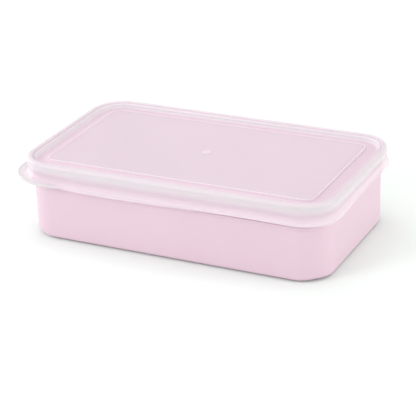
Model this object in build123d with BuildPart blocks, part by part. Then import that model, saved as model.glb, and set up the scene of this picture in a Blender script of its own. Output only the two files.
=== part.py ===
"""Soap loaf mould: a shallow rectangular tray and the soft lid that snaps over its rim.

Millimetres, +Z up. The origin is the centre of the tray's underside, and X runs along the loaf.
"""
from math import atan2, degrees
import os

from build123d import *

os.makedirs("parts", exist_ok=True)

# The crown of the lid's edge bead gives the outline that both mouldings are sized from.
# An inset is a distance in from that outline, and an outset a distance out from it.
crown_length = 230.0
crown_width = 132.0
crown_corner_radius = 23.0
crown_height = 58.4

# Tray
wall_thickness = 1.6
wall_inset = 2.7
wall_draft_angle = 0.5
base_fillet = 4.6
shoulder_height = 40.6
shoulder_step = 1.3
shoulder_fillet = 0.5
rim_height = 56.8
rim_bead_inset = 0.35
rim_bead_step = 0.4
rim_bead_depth = 3.0
rim_top_fillet = 0.5

# Lid
lid_thickness = 1.1
bead_radius = 2.9
bead_inset = 1.15
groove_outset = 1.5
groove_height = 50.2
lip_outset = 2.9
lip_height = 46.4
lip_bottom = 45.2
trough_top = 54.4
trough_inset = 12.0
panel_top = 55.8
panel_inset = 14.3
panel_corner_radius = 5.0

# Pull tab at the lid's left front corner
tab_radius = 27.0
tab_shift = 3.5
tab_thickness = 1.5
tab_edge_fillet = 0.5


def outline_size(inset):
    """Length, width and corner radius of the crown outline moved in by a distance."""
    return crown_length - 2 * inset, crown_width - 2 * inset, crown_corner_radius - inset


# The tray's wall steps out at a shoulder, flares a little and ends in a bead at the rim.
rim_wall_inset = wall_inset - shoulder_step
rim_wall_top = rim_height - rim_bead_depth
rim_flare = rim_wall_inset - rim_bead_inset - rim_bead_step
rim_flare_angle = degrees(atan2(rim_flare, rim_wall_top - shoulder_height))

with BuildPart() as mould_tray:
    with BuildSketch(Plane.XY.offset(shoulder_height)):
        RectangleRounded(*outline_size(wall_inset))
    extrude(amount=-shoulder_height, taper=wall_draft_angle)
    fillet(mould_tray.edges().group_by(Axis.Z)[0], base_fillet)

    with BuildSketch(Plane.XY.offset(shoulder_height)):
        RectangleRounded(*outline_size(rim_wall_inset))
    extrude(amount=rim_wall_top - shoulder_height, taper=-rim_flare_angle)

    with BuildSketch(Plane.XY.offset(rim_wall_top)):
        RectangleRounded(*outline_size(rim_bead_inset))
    extrude(amount=rim_bead_depth)

    # Hollow the block to an even wall, then soften the shoulder and the rim
    offset(amount=-wall_thickness, openings=mould_tray.faces().sort_by(Axis.Z)[-1])
    shoulder_edges = mould_tray.edges().filter_by_position(
        Axis.Z, shoulder_height - shoulder_fillet, shoulder_height + shoulder_fillet
    )
    fillet(shoulder_edges.filter_by(Plane.XY), shoulder_fillet)
    fillet(mould_tray.edges().group_by(Axis.Z)[-1], rim_top_fillet)
mould_tray.part.label = "mould_tray"
export_step(mould_tray.part, "parts/mould_tray.step")


# The lid's edge is one thin section, swept round the crown outline: trough, bead, skirt and lip.
lid_route = RectangleRounded(*outline_size(0)).wire()
route_start = lid_route @ 0
route_direction = lid_route % 0
section_plane = Plane(
    origin=route_start,
    x_dir=route_direction.cross(Vector(0, 0, 1)),
    z_dir=-route_direction,
)
bead_centre_height = crown_height - bead_radius
bead_inner_side = -bead_inset - bead_radius
bead_outer_side = -bead_inset + bead_radius
half_turn = 180

with BuildPart() as snap_lid:
    with BuildSketch(section_plane):
        with BuildLine():
            Polyline(
                (-trough_inset, trough_top),
                (bead_inner_side, trough_top),
                (bead_inner_side, bead_centre_height),
            )
            CenterArc((-bead_inset, bead_centre_height), bead_radius, half_turn, -half_turn)
            Polyline(
                (bead_outer_side, bead_centre_height),
                (groove_outset, groove_height),
                (lip_outset, lip_height),
                (lip_outset, lip_bottom),
            )
            offset(amount=lid_thickness, side=Side.RIGHT, closed=True)
        make_face()
    sweep(path=lid_route)

    # The trough's floor, and the panel that stands up from it
    with BuildSketch(Plane.XY.offset(trough_top)):
        RectangleRounded(*outline_size(trough_inset))
    extrude(amount=-lid_thickness)
    panel_length, panel_width, _ = outline_size(panel_inset)
    with BuildSketch(Plane.XY.offset(panel_top)):
        RectangleRounded(panel_length, panel_width, panel_corner_radius)
    extrude(amount=trough_top - panel_top)
    with BuildSketch(Plane.XY.offset(panel_top - lid_thickness)):
        RectangleRounded(
            panel_length - 2 * lid_thickness,
            panel_width - 2 * lid_thickness,
            panel_corner_radius - lid_thickness,
        )
    extrude(amount=trough_top - panel_top, mode=Mode.SUBTRACT)

    # The tab is a round lug under the corner, cut back to the inside of the lip
    tab_centre_x = -crown_length / 2 + crown_corner_radius - tab_shift
    tab_centre_y = -crown_width / 2 + crown_corner_radius - tab_shift
    with BuildSketch(Plane.XY.offset(lip_bottom)):
        with Locations((tab_centre_x, tab_centre_y)):
            Circle(tab_radius)
        RectangleRounded(*outline_size(lid_thickness - lip_outset), mode=Mode.SUBTRACT)
    extrude(amount=tab_thickness)
    round_edges = snap_lid.edges().filter_by(GeomType.CIRCLE)
    fillet(round_edges.filter_by(lambda edge: edge.radius == tab_radius), tab_edge_fillet)
snap_lid.part.label = "snap_lid"
export_step(snap_lid.part, "parts/snap_lid.step")
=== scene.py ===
"""Soap loaf mould: a pink tray under a frosted press-fit lid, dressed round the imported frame.

Everything is in metres, in the frame's own axes: X along the loaf, Z up, and the origin at the
centre of the tray's underside. Both mouldings are thin shells whose section runs round one outline,
a rectangle with rounded corners, so each is described by the section's corners and their rounding.
"""

import logging
import math
from dataclasses import dataclass, field
from enum import Enum

import bmesh
import bpy
from mathutils import Matrix, Vector


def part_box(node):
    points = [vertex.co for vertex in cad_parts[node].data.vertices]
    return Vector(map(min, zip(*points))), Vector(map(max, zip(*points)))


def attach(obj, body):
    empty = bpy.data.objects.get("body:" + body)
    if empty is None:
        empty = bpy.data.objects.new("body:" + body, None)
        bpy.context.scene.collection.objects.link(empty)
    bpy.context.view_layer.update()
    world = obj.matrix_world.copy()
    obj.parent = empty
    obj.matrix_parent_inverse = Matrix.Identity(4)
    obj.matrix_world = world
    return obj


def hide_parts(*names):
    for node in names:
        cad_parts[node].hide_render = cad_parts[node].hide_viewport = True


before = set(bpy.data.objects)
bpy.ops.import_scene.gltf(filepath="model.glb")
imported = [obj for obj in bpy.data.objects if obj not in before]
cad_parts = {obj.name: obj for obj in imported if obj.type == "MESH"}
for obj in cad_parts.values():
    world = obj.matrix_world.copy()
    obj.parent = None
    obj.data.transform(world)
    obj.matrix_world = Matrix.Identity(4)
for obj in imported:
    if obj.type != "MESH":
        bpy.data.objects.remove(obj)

log = logging.getLogger("soap_mould")

MM = 0.001
# Radius of the crown outline's corners.
CROWN_CORNER = 23.0 * MM
# A section corner that bends less than this, in radians, isn't rounded.
LEAST_BEND = 0.001
# The layer of the meshes that holds the lid's tone level: how hazy the plastic is, with painted light and
# shade at some levels.
HAZINESS_AND_LIGHT = "haze"
# Socket types of the node groups.
NUMBER = "NodeSocketFloat"
COLOUR = "NodeSocketColor"

Point = tuple[float, float]
Rgba = tuple[float, float, float, float]
# What a node's input takes: a value, or the socket that it is joined to.
Feed = float | tuple[float, ...] | bpy.types.NodeSocket


class Slot(Enum):
    """The record's material slots."""

    TRAY = "tray_plastic"
    LID = "lid_plastic"


class Body(Enum):
    """The bodies that the pieces ride on."""

    TRAY = "tray"
    LID = "lid"


# ---------------------------------------------------------------------------------------------
# Sections and outlines
# ---------------------------------------------------------------------------------------------


@dataclass(frozen=True)
class Corner:
    """A corner of a section, rounded off.

    Attributes:
        outset: distance out from the crown outline, in metres.
        height: height above the ground, in metres.
        rounding: radius of the corner.
        cells: how many cuts its round takes.
    """

    outset: float
    height: float
    rounding: float = 0.0
    cells: int = 3


def corner_mm(outset: float, height: float, rounding: float = 0.0, cells: int = 3) -> Corner:
    """A section corner whose sizes are given in millimetres."""
    return Corner(outset * MM, height * MM, rounding * MM, cells)


def round_section(corners: list[Corner]) -> list[Point]:
    """Rounds the corners of an open section, apart from those that hardly bend.

    Args:
        corners: the section's corners in order; the first and last stay sharp.

    Returns:
        The (outset, height) points of the rounded section.
    """
    points = [(corners[0].outset, corners[0].height)]
    for before, here, after in zip(corners, corners[1:], corners[2:]):
        middle = Vector((here.outset, here.height))
        to_before = Vector((before.outset, before.height)) - middle
        to_after = Vector((after.outset, after.height)) - middle
        opening = to_before.angle(to_after)
        if here.rounding <= 0.0 or math.pi - opening < LEAST_BEND:
            points.append((middle.x, middle.y))
            continue
        longest = min(to_before.length, to_after.length) / 2
        radius = min(here.rounding, longest * math.tan(opening / 2))
        inward = (to_before.normalized() + to_after.normalized()).normalized()
        centre = middle + inward * radius / math.sin(opening / 2)
        sweep = math.pi - opening
        turning = math.copysign(sweep, to_after.cross(to_before))
        spoke = middle + to_before.normalized() * radius / math.tan(opening / 2) - centre
        for step in range(here.cells + 1):
            point = centre + Matrix.Rotation(turning * step / here.cells, 2) @ spoke
            points.append((point.x, point.y))
    points.append((corners[-1].outset, corners[-1].height))
    return points


def bead_section(centre: Point, radius: float, start: float, sweep: float, cells: int) -> list[Point]:
    """An arc of the section.

    Args:
        centre: (outset, height) of the arc's centre.
        radius: its radius.
        start: angle of its first point, in degrees.
        sweep: the turn from there, in degrees.
        cells: how many cuts it takes.

    Returns:
        The arc's (outset, height) points, both ends included.
    """
    turns = [math.radians(start + sweep * step / cells) for step in range(cells + 1)]
    return [(centre[0] + radius * math.cos(turn), centre[1] + radius * math.sin(turn)) for turn in turns]


@dataclass(frozen=True)
class Place:
    """One place on an outline.

    Attributes:
        point: where it is, in X and Y.
        outward: which way is out.
    """

    point: Vector
    outward: Vector


@dataclass(frozen=True)
class Outline:
    """The crown outline that both mouldings follow.

    Attributes:
        half_length: half its length along X.
        half_width: half its width along Y.
        corner_radius: the radius of its corners.
        long_cells: cuts along each long side.
        short_cells: cuts along each short side.
        corner_cells: cuts in half of each corner.
    """

    half_length: float
    half_width: float
    corner_radius: float
    long_cells: int = 44
    short_cells: int = 26
    corner_cells: int = 8

    @property
    def across(self) -> int:
        """Cuts along the front edge, from the middle of one corner to the middle of the next."""
        return self.long_cells + 2 * self.corner_cells

    @property
    def along(self) -> int:
        """Cuts along the right edge, from the middle of one corner to the middle of the next."""
        return self.short_cells + 2 * self.corner_cells

    def places(self, outset: float, corner_radius: float) -> list[Place]:
        """The outline moved out by a distance.

        Args:
            outset: how far out; negative is in.
            corner_radius: the corners' radius there.

        Returns:
            Its 2 * (across + along) places, counter-clockwise from the middle of the left front corner.
        """
        centre_x = self.half_length + outset - corner_radius
        centre_y = self.half_width + outset - corner_radius
        sides = (
            ((-1, -1), (1, -1), self.long_cells),
            ((1, -1), (1, 1), self.short_cells),
            ((1, 1), (-1, 1), self.long_cells),
            ((-1, 1), (-1, -1), self.short_cells),
        )
        places = []
        for side, (start, end, cells) in enumerate(sides):
            facing = math.radians(270 + 90 * side)
            start_centre = Vector((start[0] * centre_x, start[1] * centre_y))
            end_centre = Vector((end[0] * centre_x, end[1] * centre_y))
            for step in range(self.corner_cells):
                turn = facing - math.pi / 4 * (1 - step / self.corner_cells)
                places.append(self._place(start_centre, corner_radius, turn))
            for step in range(cells):
                centre = start_centre.lerp(end_centre, step / cells)
                places.append(self._place(centre, corner_radius, facing))
            for step in range(self.corner_cells):
                turn = facing + math.pi / 4 * step / self.corner_cells
                places.append(self._place(end_centre, corner_radius, turn))
        return places

    @staticmethod
    def _place(centre: Vector, radius: float, turn: float) -> Place:
        """The place at an angle round a corner's centre."""
        outward = Vector((math.cos(turn), math.sin(turn)))
        return Place(centre + outward * radius, outward)


@dataclass
class ShellBuilder:
    """Builds a closed thin shell from rings that follow an outline, capped by quad grids.

    Attributes:
        outline: the outline that the rings follow.
        mesh: the mesh so far.
        rings: its rings so far, from the middle of one side, round the edge, to that of the other.
    """

    outline: Outline
    mesh: bmesh.types.BMesh = field(default_factory=bmesh.new)
    rings: list[list[bmesh.types.BMVert]] = field(default_factory=list)

    def __post_init__(self) -> None:
        """Adds the layer that holds the tone level: how hazy the plastic is, with painted light and shade at
        some levels.
        """
        self.haze = self.mesh.verts.layers.float.new(HAZINESS_AND_LIGHT)

    def vertex(self, point: Vector, haze: float) -> bmesh.types.BMVert:
        """Makes a vertex.

        Args:
            point: where it is.
            haze: the tone level there, its haziness with painted light and shade at some levels.

        Returns:
            The vertex.
        """
        made = self.mesh.verts.new(point)
        made[self.haze] = haze
        return made

    def add_ring(self, points: list[Vector], hazes: list[float] | None = None) -> None:
        """Adds a ring of vertices and joins it to the ring before it.

        Args:
            points: one point for each place of the outline.
            hazes: the tone level at each, its haziness with painted light and shade at some levels; none if
                it isn't given.
        """
        ring = [self.vertex(point, haze) for point, haze in zip(points, hazes or [0.0] * len(points))]
        if self.rings:
            inner = self.rings[-1]
            for here in range(len(ring)):
                following = (here + 1) % len(ring)
                self.mesh.faces.new((inner[here], inner[following], ring[following], ring[here]))
        self.rings.append(ring)

    def cap(self, ring: list[bmesh.types.BMVert]) -> None:
        """Fills a ring with a grid of quads that blends its four sides.

        Args:
            ring: the ring to fill.
        """
        across, along = self.outline.across, self.outline.along
        corner_right, corner_back = across, across + along
        corner_left = 2 * across + along
        rows = [[ring[i] for i in range(across + 1)]]
        for row in range(1, along):
            left = ring[len(ring) - row]
            right = ring[corner_right + row]
            v = row / along
            line = [left]
            for column in range(1, across):
                u = column / across
                front = ring[column].co
                back = ring[corner_left - column].co
                blend = front.lerp(back, v) + left.co.lerp(right.co, u)
                lower = ring[0].co.lerp(ring[corner_right].co, u)
                upper = ring[corner_left].co.lerp(ring[corner_back].co, u)
                line.append(self.vertex(blend - lower.lerp(upper, v), ring[0][self.haze]))
            line.append(right)
            rows.append(line)
        rows.append([ring[corner_left - i] for i in range(across + 1)])
        for lower_row, upper_row in zip(rows, rows[1:]):
            for column in range(across):
                self.mesh.faces.new(
                    (lower_row[column], lower_row[column + 1], upper_row[column + 1], upper_row[column])
                )

    def finish(self, name: str) -> bpy.types.Object:
        """Caps both ends and makes the object.

        Args:
            name: the piece's name.

        Returns:
            The smooth-shaded object, linked to the scene.
        """
        self.cap(self.rings[0])
        self.cap(self.rings[-1])
        bmesh.ops.recalc_face_normals(self.mesh, faces=self.mesh.faces)
        data = bpy.data.meshes.new(name)
        self.mesh.to_mesh(data)
        self.mesh.free()
        data.shade_smooth()
        piece = bpy.data.objects.new(name, data)
        bpy.context.scene.collection.objects.link(piece)
        return piece


def soften(piece: bpy.types.Object, levels: int) -> None:
    """Adds a subdivision surface to a piece.

    Args:
        piece: the piece.
        levels: how many times each quad is split.
    """
    modifier = piece.modifiers.new("soften", "SUBSURF")
    modifier.levels = levels
    modifier.render_levels = levels


def smooth_step(value: float) -> float:
    """Eases a value from 0 to 1, flat at both ends and outside them."""
    value = min(max(value, 0.0), 1.0)
    return value * value * (3 - 2 * value)


# ---------------------------------------------------------------------------------------------
# Finishes
# ---------------------------------------------------------------------------------------------


class NodeTree:
    """A short way to write a node tree: makes nodes, sets their values and joins them."""

    def __init__(self, tree: bpy.types.NodeTree) -> None:
        """Takes the tree to fill and clears it."""
        self.tree = tree
        self.tree.nodes.clear()

    def node(self, kind: str, settings: dict[str, object] | None = None, **inputs: Feed) -> bpy.types.Node:
        """Makes a node.

        Args:
            kind: the node's type.
            settings: the node's own properties.
            **inputs: values or sockets for its inputs, by name with underscores for spaces.

        Returns:
            The node.
        """
        made = self.tree.nodes.new(kind)
        for name, value in (settings or {}).items():
            setattr(made, name, value)
        for name, value in inputs.items():
            self.feed(made, name.replace("_", " "), value)
        return made

    def feed(self, node: bpy.types.Node, name: str | int, value: Feed) -> None:
        """Gives an input a value, or joins a socket to it.

        Args:
            node: the node.
            name: the input's name or number.
            value: the value or the socket.
        """
        socket = node.inputs[name]
        if isinstance(value, bpy.types.NodeSocket):
            self.tree.links.new(value, socket)
        else:
            socket.default_value = value

    def mix_colour(
        self, factor: Feed, first: Feed, second: Feed, blend: str = "MIX"
    ) -> bpy.types.NodeSocket:
        """Mixes two colours.

        Args:
            factor: how much of the second, a number or a socket.
            first: the first colour or socket.
            second: the second colour or socket.
            blend: how they mix.

        Returns:
            The mixed colour's socket.
        """
        made = self.tree.nodes.new("ShaderNodeMix")
        made.data_type = "RGBA"
        made.blend_type = blend
        self.feed(made, 0, factor)
        self.feed(made, 6, first)
        self.feed(made, 7, second)
        return made.outputs[2]

    def maths(self, operation: str, *values: Feed) -> bpy.types.NodeSocket:
        """Does arithmetic.

        Args:
            operation: the kind of arithmetic.
            *values: the numbers or sockets that it works on.

        Returns:
            The result's socket.
        """
        made = self.tree.nodes.new("ShaderNodeMath")
        made.operation = operation
        for index, value in enumerate(values):
            self.feed(made, index, value)
        return made.outputs[0]

    def span(
        self, value: Feed, low: float, high: float, to_low: float = 0.0, to_high: float = 1.0
    ) -> bpy.types.NodeSocket:
        """Maps a span of values to another, smoothly.

        Args:
            value: the number or socket.
            low: where the span starts.
            high: where it ends.
            to_low: what its start becomes.
            to_high: what its end becomes.

        Returns:
            The result's socket.
        """
        made = self.tree.nodes.new("ShaderNodeMapRange")
        made.interpolation_type = "SMOOTHSTEP"
        for name, number in (("From Min", low), ("From Max", high), ("To Min", to_low), ("To Max", to_high)):
            made.inputs[name].default_value = number
        self.feed(made, "Value", value)
        return made.outputs[0]


def new_group(
    name: str, inputs: dict[str, tuple[str, Feed]], outputs: dict[str, str]
) -> tuple[bpy.types.NodeTree, NodeTree, bpy.types.Node]:
    """Starts a shader node group.

    Args:
        name: the group's name.
        inputs: each input's socket type and value, by name.
        outputs: each output's socket type, by name.

    Returns:
        The group, its writer and its input node.
    """
    group = bpy.data.node_groups.new(name, "ShaderNodeTree")
    writer = NodeTree(group)
    for label, (kind, value) in inputs.items():
        socket = group.interface.new_socket(name=label, in_out="INPUT", socket_type=kind)
        socket.default_value = value
    for label, kind in outputs.items():
        group.interface.new_socket(name=label, in_out="OUTPUT", socket_type=kind)
    return group, writer, writer.node("NodeGroupInput")


def moulded_skin_group() -> bpy.types.NodeTree:
    """The skin of a moulding: clouded colour, uneven sheen and the fine grain of the tool.

    Returns:
        A group with outputs Colour, Roughness and Height.
    """
    patch_sheen, grain_sheen, patch_height = 0.6, 0.4, 0.35
    group, write, given = new_group(
        "moulded_skin",
        {
            "Colour": (COLOUR, (0.8, 0.8, 0.8, 1.0)),
            "Cloud Colour": (COLOUR, (0.7, 0.7, 0.7, 1.0)),
            "Cloud Size": (NUMBER, 30.0),
            "Cloud Amount": (NUMBER, 0.5),
            "Grain Size": (NUMBER, 2500.0),
            "Smoothest": (NUMBER, 0.3),
            "Roughest": (NUMBER, 0.5),
        },
        {"Colour": COLOUR, "Roughness": NUMBER, "Height": NUMBER},
    )
    place = write.node("ShaderNodeTexCoord").outputs["Object"]
    cloud = write.node(
        "ShaderNodeTexNoise", Vector=place, Scale=given.outputs["Cloud Size"], Detail=3.0, Roughness=0.5
    ).outputs["Fac"]
    patch = write.node(
        "ShaderNodeTexNoise", Vector=place, Scale=260.0, Detail=4.0, Roughness=0.6
    ).outputs["Fac"]
    grain = write.node(
        "ShaderNodeTexNoise", Vector=place, Scale=given.outputs["Grain Size"], Detail=2.0, Roughness=0.6
    ).outputs["Fac"]
    clouded = write.maths("MULTIPLY", write.span(cloud, 0.35, 0.7), given.outputs["Cloud Amount"])
    colour = write.mix_colour(clouded, given.outputs["Colour"], given.outputs["Cloud Colour"])
    sheen = write.maths("MULTIPLY_ADD", patch, patch_sheen, write.maths("MULTIPLY", grain, grain_sheen))
    spread = write.maths("SUBTRACT", given.outputs["Roughest"], given.outputs["Smoothest"])
    roughness = write.maths("MULTIPLY_ADD", write.span(sheen, 0.3, 0.7), spread, given.outputs["Smoothest"])
    height = write.maths("MULTIPLY_ADD", patch, patch_height, grain)
    write.node("NodeGroupOutput", Colour=colour, Roughness=roughness, Height=height)
    return group


def handling_marks_group() -> bpy.types.NodeTree:
    """Fine scuffs left by stacking and handling.

    Returns:
        A group with output Scuff, from 0 to 1.
    """
    group, write, given = new_group(
        "handling_marks", {"Length": (NUMBER, 18.0), "Amount": (NUMBER, 0.4)}, {"Scuff": NUMBER}
    )
    place = write.node("ShaderNodeTexCoord").outputs["Object"]
    streaks = []
    for turn, stretch in ((0.35, 26.0), (-0.9, 34.0)):
        laid = write.node(
            "ShaderNodeMapping", Vector=place, Rotation=(0.0, 0.0, turn), Scale=(1.0, stretch, 1.0)
        ).outputs["Vector"]
        streak = write.node(
            "ShaderNodeTexNoise", Vector=laid, Scale=given.outputs["Length"], Detail=5.0, Roughness=0.7
        ).outputs["Fac"]
        streaks.append(write.span(streak, 0.62, 0.74))
    scuff = write.maths("MULTIPLY", write.maths("MAXIMUM", *streaks), given.outputs["Amount"])
    write.node("NodeGroupOutput", Scuff=scuff)
    return group


def edge_wear_highlight_group() -> bpy.types.NodeTree:
    """Where outside edges are worn smooth and pale, and where a highlight is painted along them: every sharp
    outside edge, the tray's ledge among them, is lightened as if it caught the light.

    Returns:
        A group with output Rub, from 0 to 1: edge wear and painted highlight together.
    """
    group, write, given = new_group("edge_wear_highlight", {"Amount": (NUMBER, 0.5)}, {"Rub": NUMBER})
    bend = write.node("ShaderNodeNewGeometry").outputs["Pointiness"]
    place = write.node("ShaderNodeTexCoord").outputs["Object"]
    uneven = write.node("ShaderNodeTexNoise", Vector=place, Scale=90.0, Detail=3.0).outputs["Fac"]
    edge = write.span(bend, 0.51, 0.56)
    wear_highlight = write.maths("MULTIPLY", edge, write.span(uneven, 0.3, 0.65, 0.45, 1.0))
    write.node("NodeGroupOutput", Rub=write.maths("MULTIPLY", wear_highlight, given.outputs["Amount"]))
    return group


@dataclass
class PlasticKit:
    """The effects that dress the plastics, built once.

    Attributes:
        skin: the moulding's skin.
        marks: the handling scuffs.
        wear_highlight: the edges' wear and painted highlight, which the frosted lid doesn't take.
    """

    skin: bpy.types.NodeTree = field(default_factory=moulded_skin_group)
    marks: bpy.types.NodeTree = field(default_factory=handling_marks_group)
    wear_highlight: bpy.types.NodeTree = field(default_factory=edge_wear_highlight_group)


def placed_group(write: NodeTree, group: bpy.types.NodeTree, values: dict[str, Feed]) -> bpy.types.Node:
    """Places a node group in a material with its own values.

    Args:
        write: the material's writer.
        group: the group.
        values: its inputs' values, by name.

    Returns:
        The group's node.
    """
    made = write.node("ShaderNodeGroup", {"node_tree": group})
    for name, value in values.items():
        write.feed(made, name, value)
    return made


@dataclass(frozen=True)
class TrayPlastic:
    """Opaque pink polypropylene with a satin skin.

    Attributes:
        colour: its own pink.
        cloud: the pink of its slightly darker clouds.
        wear_highlight_colour: the paler pink of worn edges, which also paints a highlight along them.
        scuff_dulling: how much a scuff adds to the roughness.
        grain_depth: how deep the tool's grain is.
    """

    colour: Rgba = (0.74, 0.553, 0.643, 1.0)
    cloud: Rgba = (0.728, 0.54, 0.63, 1.0)
    # Paler pink for worn edges and for the highlight painted along them.
    wear_highlight_colour: Rgba = (0.85, 0.70, 0.77, 1.0)
    scuff_dulling: float = 0.12
    grain_depth: float = 0.06 * MM

    def make(self, kit: PlasticKit) -> bpy.types.Material:
        """Builds the material.

        Args:
            kit: the shared effects.

        Returns:
            The material.
        """
        material = bpy.data.materials.new("pink_polypropylene")
        material.use_nodes = True
        write = NodeTree(material.node_tree)
        skin = placed_group(
            write,
            kit.skin,
            {
                "Colour": self.colour,
                "Cloud Colour": self.cloud,
                "Cloud Size": 22.0,
                "Cloud Amount": 0.8,
                "Grain Size": 2600.0,
                "Smoothest": 0.34,
                "Roughest": 0.46,
            },
        )
        scuff = placed_group(write, kit.marks, {"Length": 16.0, "Amount": 0.5}).outputs["Scuff"]
        # Worn edges, paler: this also paints a highlight along every sharp outside edge, the ledge's among
        # them.
        wear_highlight = placed_group(write, kit.wear_highlight, {"Amount": 0.45}).outputs["Rub"]
        colour = write.mix_colour(wear_highlight, skin.outputs["Colour"], self.wear_highlight_colour)
        roughness = write.maths("MULTIPLY_ADD", scuff, self.scuff_dulling, skin.outputs["Roughness"])
        bump = write.node(
            "ShaderNodeBump", Strength=0.12, Distance=self.grain_depth, Height=skin.outputs["Height"]
        ).outputs["Normal"]
        shader = write.node(
            "ShaderNodeBsdfPrincipled",
            Base_Color=colour,
            Roughness=roughness,
            Normal=bump,
            IOR=1.49,
            Subsurface_Weight=0.12,
            Subsurface_Scale=2.0 * MM,
            Subsurface_Radius=(1.0, 0.6, 0.7),
        )
        write.node("ShaderNodeOutputMaterial", Surface=shader.outputs["BSDF"])
        return material


@dataclass(frozen=True)
class LidPlastic:
    """Frosted soft polyethylene: pink from the tray where it is thin, whiter where it is thick, with painted
    light and shade in some tones.

    Attributes:
        tones: (tone level, colour) stops, the colour's fourth number being how much the plastic hides:
        the bead's inner side and the panel's edge, pale as painted light that lifts the crease's shade
        and as a painted highlight line along the edge; the foot of the panel's step; the trough, lightened
        against the shade beneath it; the skirt, darkened as painted shade against the side lamps; the panel;
        and thick or sharply bent plastic, whiter, and greyed as painted shade on the tab and the bead's
        crown.
        clouding: what its colour is multiplied by where it is cloudier.
        scuff_dulling: how much a scuff adds to the roughness.
        scuff_cover: how much a scuff adds to what the plastic hides.
        grain_depth: how deep the tool's grain is.
    """

    tones: tuple[tuple[float, Rgba], ...] = (
        # Pale: painted light in the crease at the bead's inner side, and a painted highlight line along the
        # panel's edge.
        (0.0, (0.84, 0.82, 0.835, 0.87)),
        (0.07, (0.87, 0.71, 0.795, 0.74)),
        # Trough: lightened against the shade beneath it.
        (0.14, (0.96, 0.785, 0.875, 0.58)),
        # Skirt: darkened as painted shade against the side lamps.
        (0.22, (0.845, 0.705, 0.785, 0.56)),
        (0.30, (0.965, 0.83, 0.91, 0.48)),
        # Thick plastic: whiter, and greyed as painted shade on the tab and the bead's crown.
        (1.0, (0.765, 0.72, 0.74, 0.84)),
    )
    clouding: Rgba = (0.988, 0.98, 0.984, 1.0)
    scuff_dulling: float = 0.15
    scuff_cover: float = 0.05
    grain_depth: float = 0.06 * MM

    def make(self, kit: PlasticKit) -> bpy.types.Material:
        """Builds the material.

        Args:
            kit: the shared effects.

        Returns:
            The material.
        """
        material = bpy.data.materials.new("frosted_polyethylene")
        material.use_nodes = True
        write = NodeTree(material.node_tree)
        # The tone level picks a tone: the plastic's haziness, with painted light in the pale and trough
        # tones and painted shade in the skirt and thick tones.
        haze = write.node("ShaderNodeAttribute", {"attribute_name": HAZINESS_AND_LIGHT}).outputs["Fac"]
        ramp = write.node("ShaderNodeValToRGB", Fac=haze)
        stops = ramp.color_ramp.elements
        stops[0].color = self.tones[0][1]
        stops[1].color = self.tones[-1][1]
        for level, tone in self.tones[1:-1]:
            stops.new(level).color = tone
        skin = placed_group(
            write,
            kit.skin,
            {
                "Colour": ramp.outputs["Color"],
                "Cloud Colour": write.mix_colour(1.0, ramp.outputs["Color"], self.clouding, "MULTIPLY"),
                "Cloud Size": 18.0,
                "Cloud Amount": 0.7,
                "Grain Size": 1800.0,
                "Smoothest": 0.3,
                "Roughest": 0.42,
            },
        )
        scuff = placed_group(write, kit.marks, {"Length": 14.0, "Amount": 0.35}).outputs["Scuff"]
        roughness = write.maths("MULTIPLY_ADD", scuff, self.scuff_dulling, skin.outputs["Roughness"])
        bump = write.node(
            "ShaderNodeBump", Strength=0.1, Distance=self.grain_depth, Height=skin.outputs["Height"]
        ).outputs["Normal"]
        shader = write.node(
            "ShaderNodeBsdfPrincipled",
            Base_Color=skin.outputs["Colour"],
            Roughness=roughness,
            Normal=bump,
            IOR=1.5,
            Alpha=write.maths("MULTIPLY_ADD", scuff, self.scuff_cover, ramp.outputs["Alpha"]),
        )
        write.node("ShaderNodeOutputMaterial", Surface=shader.outputs["BSDF"])
        return material


# ---------------------------------------------------------------------------------------------
# The two mouldings
# ---------------------------------------------------------------------------------------------


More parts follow.
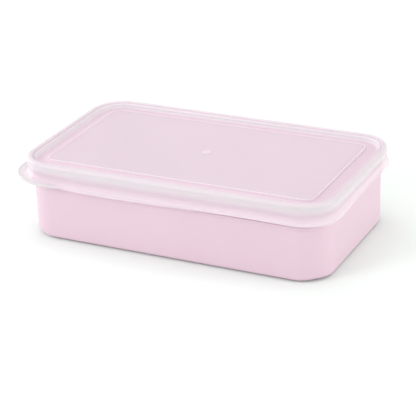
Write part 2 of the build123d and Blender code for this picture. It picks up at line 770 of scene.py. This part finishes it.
@dataclass
class Tray:
    """The pink tray: floor, drafted wall, ledge, flared rim wall and rim bead in one moulding.

    Attributes:
        outline: the crown outline of the lid's bead.
        rim_top: height of the rim.
        foot_depth: how far the underside is hollowed inside its foot ring.
        floor_top: height of the floor inside.
        ledge_height: height of the middle of the ledge's outer face.
        wall_middle: height half way up the wall.
        side_rounding: radius of the bottom edge along the sides.
        corner_rounding: radius of the bottom edge round the corners.
        tuck: how much of that round is tucked under, from 0 to 1.
        tuck_lift: how far a tucked edge stands off the ground, as a share of the round it takes up.
        foot_height: how far the foot ring stands proud of the bottom edge.
        grid_inset: where the flat middle of the floor begins.
    """

    outline: Outline
    rim_top: float
    foot_depth: float = 0.4 * MM
    floor_top: float = 1.6 * MM
    ledge_height: float = 40.3 * MM
    wall_middle: float = 21.0 * MM
    side_rounding: float = 4.8 * MM
    corner_rounding: float = 7.6 * MM
    tuck: float = 0.5
    tuck_lift: float = 0.352
    foot_height: float = 0.15 * MM
    grid_inset: float = 22.0 * MM

    def outer_section(self, rounding: float, lift: float) -> list[Corner]:
        """The outside of the section, from the underside's recess out and up to the rim.

        Args:
            rounding: radius of the bottom edge.
            lift: how far the bottom edge stands off the ground.

        Returns:
            The section's corners.
        """
        rim = self.rim_top / MM
        ledge = self.ledge_height / MM
        foot = self.foot_depth / MM
        return [
            corner_mm(-self.grid_inset / MM, foot),
            corner_mm(-17.0, foot, 1.0),
            corner_mm(-16.2, 0.0, 0.6),
            corner_mm(-13.8, 0.0, 0.6),
            corner_mm(-12.6, 0.9 * lift / MM, 0.6),
            Corner(-3.05 * MM, lift, rounding, 10),
            corner_mm(-2.86, self.wall_middle / MM),
            corner_mm(-2.70, ledge - 1.1, 0.45),
            corner_mm(-1.05, ledge - 0.8, 0.45),
            corner_mm(-1.05, ledge + 0.8, 0.5),
            corner_mm(-1.95, ledge + 1.2, 0.4),
            corner_mm(-0.80, rim - 3.2, 0.5),
            corner_mm(-0.35, rim - 2.7, 0.4),
            corner_mm(-0.35, rim, 0.65, 4),
        ]

    def inner_section(self) -> list[Corner]:
        """The inside of the section, from the rim down and in across the floor.

        Returns:
            The section's corners.
        """
        rim = self.rim_top / MM
        ledge = self.ledge_height / MM
        floor = self.floor_top / MM
        return [
            corner_mm(-1.95, rim, 0.65, 4),
            corner_mm(-1.95, rim - 2.2, 0.8),
            corner_mm(-2.9, ledge + 2.4, 0.7),
            corner_mm(-4.25, ledge + 1.6, 0.7),
            corner_mm(-4.42, self.wall_middle / MM),
            corner_mm(-4.65, floor, 5.5, 10),
            corner_mm(-self.grid_inset / MM, floor),
        ]

    def outer_at(self, place: Place) -> list[Corner]:
        """The outside of the section at a place: its bottom edge is rounder at the corners.

        Args:
            place: the place on the outline.

        Returns:
            The section's corners.
        """
        cornering = (2 * place.outward.x * place.outward.y) ** 2
        rounding = self.side_rounding + (self.corner_rounding - self.side_rounding) * cornering
        lift = self.foot_height + self.tuck_lift * self.tuck * rounding
        return self.outer_section(rounding * (1 - self.tuck), lift)

    def build(self) -> bpy.types.Object:
        """Builds the tray's mesh.

        Returns:
            The piece.
        """
        inner = self.inner_section()
        plain = round_section(self.outer_section(self.side_rounding, self.foot_height) + inner)
        places = self.outline.places(0.0, self.outline.corner_radius)
        sections = [round_section(self.outer_at(place) + inner) for place in places]
        builder = ShellBuilder(self.outline)
        for index, (outset, _) in enumerate(plain):
            ring = []
            along_ring = self.outline.places(outset, self.outline.corner_radius + outset)
            for place, section in zip(along_ring, sections):
                own_outset, height = section[index]
                flat = place.point + place.outward * (own_outset - outset)
                ring.append(Vector((*flat, height)))
            builder.add_ring(ring)
        piece = builder.finish("pink_tray")
        soften(piece, 1)
        return piece

    def dress(self, piece: bpy.types.Object, material: bpy.types.Material) -> None:
        """Gives the tray its finish and its place in the frame.

        Args:
            piece: the tray.
            material: its plastic.
        """
        piece.data.materials.append(material)
        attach(piece, Body.TRAY.value)
        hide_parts("mould_tray")


@dataclass(frozen=True)
class PullTab:
    """The round lug at the lid's left front corner.

    Attributes:
        radius: its radius.
        shift: its centre's distance out from the corner's centre, along X and along Y.
        reach_blend: how gently it leaves the lip.
        haze: its tone level, the thick tone, greyed as painted shade.
        haze_reach: how far out from the lip it fully takes that tone.
        rise_reach: how far out from the lip it has risen fully.
    """

    radius: float = 27.0 * MM
    shift: float = 3.5 * MM
    reach_blend: float = 0.6 * MM
    # The tab takes the thick tone, greyed there as painted shade.
    haze: float = 1.0
    haze_reach: float = 2.0 * MM
    rise_reach: float = 4.0 * MM

    def reach(self, place: Place, outline: Outline) -> float:
        """How far the tab stands out from the lip at a place.

        Args:
            place: the place on the lip.
            outline: the crown outline.

        Returns:
            The distance, 0 where there is no tab.
        """
        inset = outline.corner_radius - self.shift
        centre = Vector((inset - outline.half_length, inset - outline.half_width))
        to_centre = centre - place.point
        ahead = to_centre.dot(place.outward)
        aside_squared = to_centre.length_squared - ahead * ahead
        if ahead < -self.radius or aside_squared >= self.radius**2:
            return 0.0
        reach = ahead + math.sqrt(self.radius**2 - aside_squared)
        return max(reach, 0.0) * smooth_step(reach / self.reach_blend)


@dataclass(frozen=True)
class Station:
    """A point of the lid's section.

    Attributes:
        outset: distance out from the crown outline.
        height: height above the ground.
        corner_radius: radius of the ring's corners there.
        haze: a level of the plastic's tones: its haziness, with painted light and shade at some levels.
        tab_share: how much of the pull tab's reach it takes, from 0 to 1.
        tab_rise: how far it rises on the tab.
        bow_share: how much of the skirt's bow it takes; the lip's lower edge takes more than 1.
    """

    outset: float
    height: float
    corner_radius: float
    haze: float = 0.0
    tab_share: float = 0.0
    tab_rise: float = 0.0
    bow_share: float = 0.0


@dataclass
class Lid:
    """The frosted lid: panel, trough, hollow bead, skirt, lip and pull tab in one moulding.

    Attributes:
        outline: the crown outline of the bead.
        crown: height of the bead's crown.
        lip_bottom: height of the lip's underside.
        thickness: the plastic's thickness.
        bead_radius: radius of the hollow bead's round.
        bead_outset: where the bead's centre is, out from the crown outline.
        trough_drop: how far below the crown the trough is.
        trough_edge: how far out the rings' corners have changed from the panel's to the bead's.
        panel_drop: how far below the crown the panel is.
        panel_outset: how far out the panel reaches.
        panel_corner: radius of the panel's corners.
        grid_outset: where the panel's flat middle begins.
        waist_drop: how far below the crown the skirt's narrowest part is.
        waist_outset: how far out it is.
        lip_drop: how far below the crown the lip's upper side is.
        lip_outset: how far out the lip reaches.
        lip_haze: the lip's tone level.
        panel_sag: how far the panel sags.
        skirt_bow: how far the skirt's foot bows up and down.
        front_droop: how much lower the skirt hangs along the front.
        gate_haze: the gate mark's tone level.
        haze_marks: (outset, drop below the crown, tone level) along the section, in millimetres; some
            place painted light and painted shade, as the tones tell.
        tab: the pull tab.
    """

    outline: Outline
    crown: float
    lip_bottom: float
    thickness: float = 1.1 * MM
    bead_radius: float = 2.9 * MM
    bead_outset: float = -1.15 * MM
    trough_drop: float = 4.0 * MM
    trough_edge: float = -5.0 * MM
    panel_drop: float = 2.6 * MM
    panel_outset: float = -14.3 * MM
    panel_corner: float = 6.5 * MM
    grid_outset: float = -17.0 * MM
    waist_drop: float = 8.3 * MM
    waist_outset: float = 1.45 * MM
    lip_drop: float = 11.7 * MM
    lip_outset: float = 2.9 * MM
    lip_haze: float = 0.45
    panel_sag: float = 0.35 * MM
    skirt_bow: float = 1.3 * MM
    front_droop: float = 2.0 * MM
    gate_haze: float = 0.5
    haze_marks: tuple[tuple[float, float, float], ...] = (
        (-17.0, 2.6, 0.30),
        (-15.2, 2.6, 0.31),
        # Painted highlight: the pale tone draws a bright line along the panel's edge.
        (-14.4, 2.6, 0.02),
        (-13.9, 3.3, 0.07),
        (-13.4, 4.0, 0.07),
        # The trough, in its tone lightened against the shade beneath it.
        (-12.4, 4.0, 0.11),
        (-9.0, 4.0, 0.14),
        (-6.0, 4.0, 0.1),
        (-4.7, 4.0, 0.03),
        # Painted light: the pale tone lifts the shade in the crease at the bead's inner side.
        (-4.05, 3.2, 0.0),
        (-3.85, 1.6, 0.0),
        (-2.6, 0.4, 0.5),
        # The bead's crown and outer side, whiter where thick, and greyed as painted shade against the lamps'
        # highlights.
        (-1.15, 0.0, 0.66),
        (0.9, 0.9, 0.78),
        (1.7, 3.2, 0.85),
        (1.6, 5.2, 0.5),
        # The skirt, in its tone darkened as painted shade against the side lamps.
        (1.45, 8.1, 0.22),
        (2.1, 10.0, 0.22),
        (2.6, 11.5, 0.3),
        (2.8, 12.0, 0.6),
    )
    tab: PullTab = field(default_factory=PullTab)

    def ring_radius(self, outset: float) -> float:
        """Corner radius of a ring: the panel's own inside the step, the bead's outside the trough.

        Args:
            outset: how far out the ring is.

        Returns:
            The radius.
        """
        step_foot = self.panel_outset + 0.4 * MM
        by_panel = self.panel_corner + outset - self.panel_outset
        by_bead = self.outline.corner_radius + outset
        share = min(max((outset - step_foot) / (self.trough_edge - step_foot), 0.0), 1.0)
        return by_panel + (by_bead - by_panel) * share

    def station(self, point: Point, **shares: float) -> Station:
        """A station at an (outset, height) point, with the corner radius that belongs there."""
        return Station(point[0], point[1], self.ring_radius(point[0]), **shares)

    def stations(self, points: list[Point]) -> list[Station]:
        """Stations along a run of the section, with the tone level and the bow that belong there.

        Args:
            points: the run's (outset, height) points.

        Returns:
            Their stations.
        """
        return [
            self.station(point, haze=self.haze_at(point), bow_share=self.bow_share(point[1]))
            for point in points
        ]

    def bow_share(self, height: float) -> float:
        """How much of the skirt's bow a height takes: none at the bead, all at the lip."""
        span = self.crown - self.bead_radius - self.lip_bottom
        return smooth_step((self.crown - self.bead_radius - height) / span)

    def bow(self, place: Place) -> float:
        """How far the skirt's foot stands up from level at a place: soft lids never sit quite flat.

        Args:
            place: the place on the lip.

        Returns:
            The height, up or down.
        """
        along = place.point.x / self.outline.half_length
        front = smooth_step(-1.2 * place.point.y / self.outline.half_width)
        front_wave = 0.6 * math.sin(math.pi * (along + 0.08)) - 0.25 * math.cos(math.pi * along)
        back_wave = 0.25 * math.sin(3.1 * along + 1.2)
        wave = front_wave * front + back_wave * (1 - front)
        past_the_tab = smooth_step((along + 0.95) / 0.4)
        return wave * self.skirt_bow - self.front_droop * past_the_tab * front

    def haze_at(self, point: Point) -> float:
        """The tone level at a point of the section, after the marks nearest to it: its haziness, with
        painted light and shade at some levels.

        Args:
            point: the (outset, height) point.

        Returns:
            The level, from 0 to 1.
        """
        nearest = 0.05
        outset = point[0] / MM
        drop = (self.crown - point[1]) / MM
        weights = [
            1 / (nearest + math.hypot(outset - mark_outset, drop - mark_drop)) ** 3
            for mark_outset, mark_drop, _ in self.haze_marks
        ]
        hazes = [haze for _, _, haze in self.haze_marks]
        return sum(weight * haze for weight, haze in zip(weights, hazes)) / sum(weights)

    def top_stations(self) -> list[Station]:
        """The upper side of the section, from the panel out and down to the skirt's foot.

        Returns:
            Its stations.
        """
        lip = (self.crown - self.lip_drop) / MM
        panel = (self.crown - self.panel_drop) / MM
        trough = (self.crown - self.trough_drop) / MM
        panel_edge = self.panel_outset / MM
        bead_inner = (self.bead_outset - self.bead_radius) / MM
        bead_outer = (self.bead_outset + self.bead_radius) / MM
        bead_level = (self.crown - self.bead_radius) / MM
        inside = round_section(
            [
                corner_mm(self.grid_outset / MM, panel),
                corner_mm(panel_edge - 0.9, panel),
                corner_mm(panel_edge - 0.1, panel + 0.12, 0.3),
                corner_mm(panel_edge + 0.45, trough, 0.4),
                corner_mm(-11.0, trough),
                corner_mm(-8.0, trough),
                corner_mm(bead_inner, trough, 0.8, 4),
                corner_mm(bead_inner, bead_level - 0.1),
            ]
        )
        centre = (self.bead_outset, self.crown - self.bead_radius)
        bead = bead_section(centre, self.bead_radius, 180.0, -180.0, 16)
        skirt = round_section(
            [
                corner_mm(bead_outer - 0.02, bead_level - 0.4),
                corner_mm(self.waist_outset / MM, (self.crown - self.waist_drop) / MM, 1.6, 5),
                corner_mm(2.45, lip + 0.2, 0.5),
                corner_mm(2.6, lip + 0.1),
            ]
        )
        return self.stations(inside + bead + skirt)

    def lip_stations(self) -> list[Station]:
        """The lip and the tab, from their upper side round the edge to their underside.

        Returns:
            Their stations, whose rows here hold the outset, the height, the share of the tab's reach,
            the rise on the tab and the share of the bow.
        """
        top = self.crown - self.lip_drop
        edge = self.lip_outset
        low = self.lip_bottom
        turn = 0.35 * MM
        rise = 0.35 * MM
        rows = [
            (edge - 0.25 * MM, top, 0.35, -0.1 * MM, 1.0),
            (edge - 0.20 * MM, top, 0.70, -0.1 * MM, 1.0),
            (edge - 0.18 * MM, top, 0.82, 0.0, 1.0),
            (edge - 0.12 * MM, top, 0.90, rise, 1.0),
            (edge - 0.06 * MM, top - 0.3 * turn, 0.985, 0.6 * rise, 1.0),
            (edge, top - turn, 1.0, 0.0, 1.0),
            (edge, low + turn, 1.0, 0.0, 1.3),
            (edge - 0.3 * turn, low + 0.3 * turn, 0.99, 0.0, 1.3),
            (edge - turn, low, 0.96, 0.0, 1.3),
            (edge - 1.3 * turn, low, 0.5, 0.2 * MM, 1.3),
            (edge - 1.7 * turn, low, 0.0, 0.0, 1.3),
        ]
        return [
            self.station(
                (outset, height), haze=self.lip_haze, tab_share=reach, tab_rise=lift, bow_share=bow
            )
            for outset, height, reach, lift, bow in rows
        ]

    def under_stations(self) -> list[Station]:
        """The lower side of the section, from the lip up inside the bead and in to the panel.

        Returns:
            Its stations.
        """
        thickness = self.thickness / MM
        lip = (self.crown - self.lip_drop) / MM
        waist = self.waist_outset / MM
        panel_edge = self.panel_outset / MM - thickness
        bead_level = (self.crown - self.bead_radius) / MM
        trough = (self.crown - self.trough_drop - self.thickness) / MM
        panel = (self.crown - self.panel_drop - self.thickness) / MM
        bead_outer = (self.bead_outset + self.bead_radius) / MM - thickness
        bead_inner = (self.bead_outset - self.bead_radius) / MM + thickness
        skirt = round_section(
            [
                corner_mm(1.9, self.lip_bottom / MM + 0.05),
                corner_mm(waist, lip + 0.1, 0.6),
                corner_mm(waist - thickness, (self.crown - self.waist_drop) / MM, 1.6, 5),
                corner_mm(bead_outer, bead_level - 0.4),
            ]
        )
        centre = (self.bead_outset, self.crown - self.bead_radius)
        bead = bead_section(centre, self.bead_radius - self.thickness, 0.0, 180.0, 12)
        inside = round_section(
            [
                corner_mm(bead_inner, bead_level - 0.3),
                corner_mm(bead_inner, trough, 0.5),
                corner_mm(-8.0, trough),
                corner_mm(-11.0, trough),
                corner_mm(panel_edge + 0.4, trough, 0.3),
                corner_mm(panel_edge, panel, 0.4),
                corner_mm(self.grid_outset / MM, panel),
            ]
        )
        return self.stations(skirt + bead + inside)

    def ring(self, station: Station) -> tuple[list[Vector], list[float]]:
        """The points of one ring, and the tone level at each, its haziness with painted light and shade at
        some levels.

        Args:
            station: the section's point that the ring follows.

        Returns:
            One point and one haze for each place of the outline.
        """
        places = self.outline.places(station.outset, station.corner_radius)
        lip = self.outline.places(self.lip_outset, self.outline.corner_radius + self.lip_outset)
        points, hazes = [], []
        for place, lip_place in zip(places, lip):
            reach = self.tab.reach(lip_place, self.outline)
            flat = place.point + place.outward * reach * station.tab_share
            rise = station.tab_rise * min(reach / self.tab.rise_reach, 1.0)
            bow = station.bow_share * self.bow(lip_place)
            points.append(Vector((*flat, station.height + rise + bow)))
            on_tab = smooth_step(reach * station.tab_share / self.tab.haze_reach)
            hazes.append(station.haze + (self.tab.haze - station.haze) * on_tab)
        return points, hazes

    def build(self) -> bpy.types.Object:
        """Builds the lid's mesh.

        Returns:
            The piece.
        """
        builder = ShellBuilder(self.outline)
        for station in self.top_stations() + self.lip_stations() + self.under_stations():
            builder.add_ring(*self.ring(station))
        self.add_gate_mark(builder)
        piece = builder.finish("frosted_lid")
        self.settle(piece)
        soften(piece, 1)
        return piece

    def add_gate_mark(self, builder: ShellBuilder) -> None:
        """Adds the round witness mark that the mould's gate leaves in the middle of the panel.

        Args:
            builder: the lid's builder, with all its rings.
        """
        panel = (self.crown - self.panel_drop) / MM
        cells = 32
        profile = round_section(
            [
                corner_mm(0.4, panel - 0.5),
                corner_mm(3.3, panel - 0.5),
                corner_mm(3.3, panel + 0.22, 0.15),
                corner_mm(2.5, panel + 0.22, 0.15),
                corner_mm(2.2, panel + 0.05, 0.15),
                corner_mm(1.0, panel + 0.05, 0.15),
                corner_mm(0.7, panel + 0.3, 0.15),
                corner_mm(0.2, panel + 0.3),
            ]
        )
        rings = []
        for radius, height in profile:
            ring = []
            for step in range(cells):
                turn = 2 * math.pi * step / cells
                point = Vector((radius * math.cos(turn), radius * math.sin(turn), height))
                ring.append(builder.vertex(point, self.gate_haze))
            rings.append(ring)
        for inner, outer in zip(rings, rings[1:]):
            for here in range(cells):
                following = (here + 1) % cells
                builder.mesh.faces.new((inner[here], inner[following], outer[following], outer[here]))
        builder.mesh.faces.new(rings[0])
        builder.mesh.faces.new(rings[-1])

    def settle(self, piece: bpy.types.Object) -> None:
        """Lets the panel sag a little, as a thin moulded sheet does.

        Args:
            piece: the lid.
        """
        half_length = self.outline.half_length + self.panel_outset
        half_width = self.outline.half_width + self.panel_outset
        for vertex in piece.data.vertices:
            along = min(abs(vertex.co.x) / half_length, 1.0)
            across = min(abs(vertex.co.y) / half_width, 1.0)
            vertex.co.z -= self.panel_sag * (1 - along**2) * (1 - across**2)

    def dress(self, piece: bpy.types.Object, material: bpy.types.Material) -> None:
        """Gives the lid its finish and its place in the frame.

        Args:
            piece: the lid.
            material: its plastic.
        """
        piece.data.materials.append(material)
        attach(piece, Body.LID.value)
        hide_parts("snap_lid")


# ---------------------------------------------------------------------------------------------
# The studio
# ---------------------------------------------------------------------------------------------


@dataclass(frozen=True)
class Softbox:
    """A soft rectangular light.

    Attributes:
        name: its name.
        position: where it stands.
        size: its length and width.
        power: in watts.
        colour: its tint.
        aim: what it points at.
    """

    name: str
    position: tuple[float, float, float]
    size: tuple[float, float]
    power: float
    colour: tuple[float, float, float] = (1.0, 1.0, 1.0)
    aim: tuple[float, float, float] = (0.0, 0.0, 30.0 * MM)

    def place(self) -> None:
        """Adds the light to the scene."""
        data = bpy.data.lights.new(self.name, "AREA")
        data.shape = "RECTANGLE"
        data.size, data.size_y = self.size
        data.energy = self.power
        data.color = self.colour
        light = bpy.data.objects.new(self.name, data)
        bpy.context.scene.collection.objects.link(light)
        position = Vector(self.position)
        facing = (Vector(self.aim) - position).to_track_quat("-Z", "Y")
        light.matrix_world = Matrix.Translation(position) @ facing.to_matrix().to_4x4()


@dataclass(frozen=True)
class Studio:
    """A pale floor, a pale surround, soft lights and the camera.

    Attributes:
        azimuth: the camera's turn from the front to the right, in degrees.
        elevation: its height above level, in degrees.
        roll: its tip to one side, in degrees.
        distance: how far it stands from what it aims at.
        aim_height: height of the middle of what it sees.
        aim_drop: how far the camera is shifted down from there.
        focal_length: its lens, in millimetres.
        sensor_width: its sensor's width, in millimetres.
        floor_size: the floor's length and width.
        floor_colour: the floor's pale tint.
        surround: strength of the light from all round.
        softboxes: the soft lights.
    """

    azimuth: float = 26.49
    elevation: float = 24.18
    roll: float = -2.13
    distance: float = 1.155
    aim_height: float = 0.030
    aim_drop: float = 0.0159
    focal_length: float = 141.5
    sensor_width: float = 36.0
    floor_size: float = 6.0
    floor_colour: Rgba = (0.86, 0.91, 0.885, 1.0)
    surround: float = 0.83
    softboxes: tuple[Softbox, ...] = (
        Softbox("back_key", (-0.8, 0.75, 1.3), (0.8, 0.8), 2.0),
        Softbox("overhead", (0.0, 0.0, 1.6), (1.2, 1.2), 4.2),
        Softbox("left_front", (-1.2, -1.6, 1.1), (0.9, 0.7), 15.0),
        Softbox("left_side", (-1.9, 0.2, 0.6), (0.9, 0.7), 7.0),
        Softbox("right_side", (1.6, 0.2, 0.45), (0.7, 0.5), 7.5, (0.97, 1.0, 0.92)),
    )

    def place_camera(self) -> None:
        """Sets the camera on the object from the front right, tipped a little."""
        azimuth = math.radians(self.azimuth)
        elevation = math.radians(self.elevation)
        roll = math.radians(self.roll)
        back = Vector(
            (
                math.sin(azimuth) * math.cos(elevation),
                -math.cos(azimuth) * math.cos(elevation),
                math.sin(elevation),
            )
        )
        level_right = Vector((math.cos(azimuth), math.sin(azimuth), 0.0))
        level_up = back.cross(level_right)
        right = level_right * math.cos(roll) + level_up * math.sin(roll)
        up = level_up * math.cos(roll) - level_right * math.sin(roll)
        position = Vector((0.0, 0.0, self.aim_height)) - up * self.aim_drop + back * self.distance
        turn = Matrix((right, up, back)).transposed().to_4x4()
        data = bpy.data.cameras.new("camera")
        data.lens = self.focal_length
        data.sensor_width = self.sensor_width
        camera = bpy.data.objects.new("camera", data)
        camera.matrix_world = Matrix.Translation(position) @ turn
        bpy.context.scene.collection.objects.link(camera)
        bpy.context.scene.camera = camera

    def place_floor(self) -> None:
        """Lays the pale floor."""
        mesh = bmesh.new()
        bmesh.ops.create_grid(mesh, x_segments=8, y_segments=8, size=self.floor_size / 2)
        data = bpy.data.meshes.new("floor")
        mesh.to_mesh(data)
        mesh.free()
        floor = bpy.data.objects.new("floor", data)
        bpy.context.scene.collection.objects.link(floor)
        material = bpy.data.materials.new("pale_paper")
        material.use_nodes = True
        write = NodeTree(material.node_tree)
        shader = write.node(
            "ShaderNodeBsdfPrincipled", Base_Color=self.floor_colour, Roughness=0.9, Specular_IOR_Level=0.0
        )
        write.node("ShaderNodeOutputMaterial", Surface=shader.outputs["BSDF"])
        data.materials.append(material)

    def light(self) -> None:
        """Sets the surround and the soft lights."""
        world = bpy.data.worlds.new("surround")
        bpy.context.scene.world = world
        world.use_nodes = True
        background = world.node_tree.nodes["Background"]
        background.inputs["Color"].default_value = (1.0, 1.0, 1.0, 1.0)
        background.inputs["Strength"].default_value = self.surround
        for softbox in self.softboxes:
            softbox.place()
        bpy.context.scene.view_settings.view_transform = "Standard"
        bpy.context.scene.view_settings.look = "None"

    def set_up(self) -> None:
        """Builds the whole studio."""
        self.place_camera()
        self.place_floor()
        self.light()


def main() -> None:
    """Builds the studio and both mouldings, and reports each piece."""
    logging.basicConfig(level=logging.INFO, format="%(message)s")
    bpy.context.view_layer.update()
    _, tray_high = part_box("mould_tray")
    lid_low, lid_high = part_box("snap_lid")

    Studio().set_up()
    kit = PlasticKit()
    outline = Outline(lid_high.x - Lid.lip_outset, lid_high.y - Lid.lip_outset, CROWN_CORNER)

    tray = Tray(outline, rim_top=tray_high.z)
    tray_piece = tray.build()
    tray.dress(tray_piece, TrayPlastic().make(kit))
    log.info("tray: %d faces before smoothing", len(tray_piece.data.polygons))

    lid = Lid(outline, crown=lid_high.z, lip_bottom=lid_low.z)
    lid_piece = lid.build()
    lid.dress(lid_piece, LidPlastic().make(kit))
    log.info("lid: %d faces before smoothing", len(lid_piece.data.polygons))


if __name__ == "__main__":
    main()
